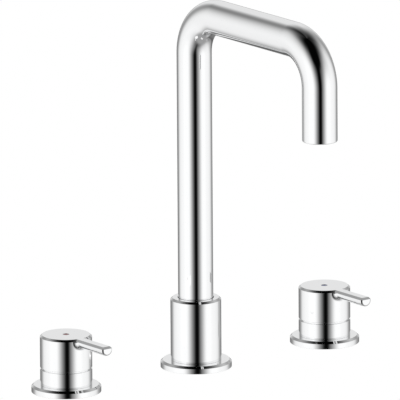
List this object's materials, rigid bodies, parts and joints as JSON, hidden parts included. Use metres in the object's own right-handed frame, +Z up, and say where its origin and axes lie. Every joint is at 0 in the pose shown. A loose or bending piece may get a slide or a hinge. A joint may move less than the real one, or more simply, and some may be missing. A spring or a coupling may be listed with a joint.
{
  "type": "widespread bathroom faucet",
  "caption": "Widespread deck-mounted bathroom faucet: a tall U-shaped tube spout that swivels in a plain collar, with separate round hot and cold lever handles, in polished chrome.",
  "frame": {"origin": "on the deck's top surface, at the axis of the spout's riser", "axes": "+Z up along the riser, -Y towards the user, the way the spout and both levers point at rest, +X from the hot handle to the cold one"},
  "size_m": [0.2816, 0.1829, 0.364],
  "materials": {
    "chrome_plate": "mirror-bright chrome plate on brass",
    "forged_brass": "forged and machined brass, satin",
    "turned_brass": "turned brass with fine tool marks",
    "zinc_plated_steel": "zinc-plated pressed steel",
    "stainless_steel": "stainless steel, bright",
    "nitrile_rubber": "black nitrile rubber, matt",
    "alumina_ceramic": "lapped alumina ceramic",
    "white_acetal": "moulded white acetal",
    "red_enamel": "gloss red enamel inlay",
    "blue_enamel": "gloss blue enamel inlay"
  },
  "bodies": {
    "base": {"hot_flange": "chrome_plate", "hot_flange_seal": "nitrile_rubber", "hot_rubber_washer": "nitrile_rubber", "hot_steel_washer": "zinc_plated_steel", "hot_lock_nut": "forged_brass", "hot_valve_body": "forged_brass", "hot_shroud": "chrome_plate", "hot_cartridge_body": "turned_brass", "hot_seat_seal": "nitrile_rubber", "hot_lower_disc": "alumina_ceramic", "cold_flange": "chrome_plate", "cold_flange_seal": "nitrile_rubber", "cold_rubber_washer": "nitrile_rubber", "cold_steel_washer": "zinc_plated_steel", "cold_lock_nut": "forged_brass", "cold_valve_body": "forged_brass", "cold_shroud": "chrome_plate", "cold_cartridge_body": "turned_brass", "cold_seat_seal": "nitrile_rubber", "cold_lower_disc": "alumina_ceramic", "spout_flange": "chrome_plate", "spout_flange_seal": "nitrile_rubber", "spout_rubber_washer": "nitrile_rubber", "spout_steel_washer": "zinc_plated_steel", "spout_lock_nut": "forged_brass", "spout_shank": "turned_brass", "spout_tee": "forged_brass", "spout_collar": "chrome_plate", "spout_retaining_screw": "stainless_steel", "spout_glide_ring": "white_acetal", "spout_thrust_washer": "white_acetal"},
    "spout_arm": {"spout_tube": "chrome_plate", "spout_swivel_nipple": "turned_brass", "spout_o_ring_lower": "nitrile_rubber", "spout_o_ring_upper": "nitrile_rubber", "aerator_housing": "turned_brass", "aerator_screen": "white_acetal", "aerator_washer": "nitrile_rubber"},
    "hot_control": {"hot_handle": "chrome_plate", "hot_handle_screw": "stainless_steel", "hot_index_dot": "red_enamel", "hot_stem": "turned_brass", "hot_stem_clip": "stainless_steel", "hot_stem_o_ring": "nitrile_rubber", "hot_upper_disc": "alumina_ceramic"},
    "cold_control": {"cold_handle": "chrome_plate", "cold_handle_screw": "stainless_steel", "cold_index_dot": "blue_enamel", "cold_stem": "turned_brass", "cold_stem_clip": "stainless_steel", "cold_stem_o_ring": "nitrile_rubber", "cold_upper_disc": "alumina_ceramic"}
  },
  "joints": [
    {"name": "spout_swivel", "type": "hinge", "parent": "base", "child": "spout_arm", "pos_m": [0, 0, 0.05], "axis": [0, 0, 1], "range_deg": [-60, 60]},
    {"name": "hot_turn", "type": "hinge", "parent": "base", "child": "hot_control", "pos_m": [-0.116, 0, 0.03], "axis": [0, 0, 1], "range_deg": [-90, 0]},
    {"name": "cold_turn", "type": "hinge", "parent": "base", "child": "cold_control", "pos_m": [0.116, 0, 0.03], "axis": [0, 0, 1], "range_deg": [0, 90]}
  ]
}
